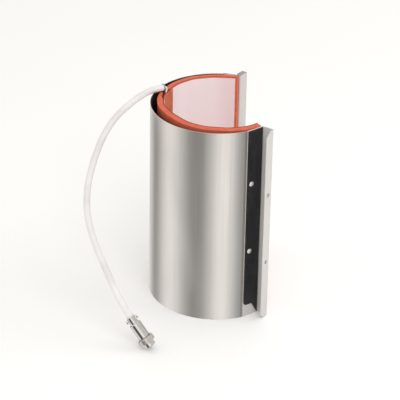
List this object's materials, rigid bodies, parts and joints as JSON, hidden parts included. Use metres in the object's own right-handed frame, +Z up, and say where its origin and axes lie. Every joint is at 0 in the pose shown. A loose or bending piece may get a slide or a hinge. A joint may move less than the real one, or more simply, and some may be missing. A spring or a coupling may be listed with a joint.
{
  "type": "mug heat press",
  "caption": "Removable heating wrap of a mug and tumbler heat press: springy C-shaped steel shell with a silicone heating pad, hook rails on both edges, and a sleeved cable with a round plug.",
  "frame": {"origin": "on the surface the wrap stands on, under the middle of the shell and rails (cable and plug left out); the shell's own axis stands 14 mm along +X from it", "axes": "+Z up along the shell's axis, +X out of the mouth of the C, -Y the side the plug hangs on"},
  "size_m": [0.1978, 0.2087, 0.2398],
  "materials": {
    "shell_steel": "satin, vertical sheen",
    "black_lining": "matte",
    "silicone_sponge": "matte, fine pores",
    "silicone_sheet": "satin",
    "element_foil": "bare foil",
    "release_film": "smooth, faintly glossy",
    "silicone_patch": "satin",
    "sensor_bead": "matte",
    "white_insulation": "satin",
    "solder_tab": "tinned",
    "clip_steel": "satin",
    "cable_sleeving": "coated glass-fibre braid, matte",
    "rail_steel": "satin",
    "black_paint": "satin",
    "rivet_metal": "polished",
    "plug_chrome": "nickel plate, bright",
    "insert_plastic": "matte",
    "contact_brass": "silver plate",
    "conductor_copper": "bare strands",
    "screw_steel": "bright"
  },
  "bodies": {
    "wrap": {"outer_shell": "shell_steel", "shell_lining": "black_lining", "sponge_pad": "silicone_sponge", "heater_mat_back": "silicone_sheet", "heating_element": "element_foil", "heater_mat_face": "silicone_sheet", "release_liner": "release_film", "terminal_patch": "silicone_patch", "temperature_sensor": "sensor_bead", "sensor_wires": "white_insulation", "heater_leads": "white_insulation", "lead_joints": "solder_tab", "cable_clip": "clip_steel", "cable_sleeve": "cable_sleeving", "plug_nose": "plug_chrome", "plug_socket_insert": "insert_plastic", "plug_contacts": "contact_brass", "plug_conductors": "conductor_copper", "plug_ring_keeper": "clip_steel", "plug_rear_shell": "plug_chrome", "plug_set_screw": "screw_steel", "cable_clamp_saddle": "plug_chrome", "cable_clamp_screws": "screw_steel"},
    "front_edge": {"front_rail": "rail_steel", "front_clamp_bar": "black_paint", "front_rivets": "rivet_metal"},
    "rear_edge": {"rear_rail": "rail_steel", "rear_clamp_bar": "black_paint", "rear_rivets": "rivet_metal"},
    "coupling_ring": {"plug_coupling_ring": "plug_chrome"}
  },
  "joints": [
    {"name": "front_edge_flex", "type": "hinge", "parent": "wrap", "child": "front_edge", "pos_m": [-0.0355, -0.0292, 0], "axis": [0, 0, 1], "range_deg": [0, 46], "stiffness_Nm_per_rad": 0.5, "deforming": ["outer_shell", "shell_lining", "sponge_pad", "heater_mat_back", "heating_element", "heater_mat_face", "release_liner"]},
    {"name": "rear_edge_flex", "type": "hinge", "parent": "wrap", "child": "rear_edge", "pos_m": [-0.0135, 0.0637, 0], "axis": [0, 0, 1], "range_deg": [-22.5, 0], "stiffness_Nm_per_rad": 0.5},
    {"name": "coupling_ring_turn", "type": "hinge", "parent": "wrap", "child": "coupling_ring", "pos_m": [-0.0784, -0.121, 0.0046], "axis": [-0.5221, 0.3601, 0.7731], "continuous": true}
  ],
  "couplings": [
    {"joint": "rear_edge_flex", "follows": "front_edge_flex", "ratio": -0.489}
  ]
}
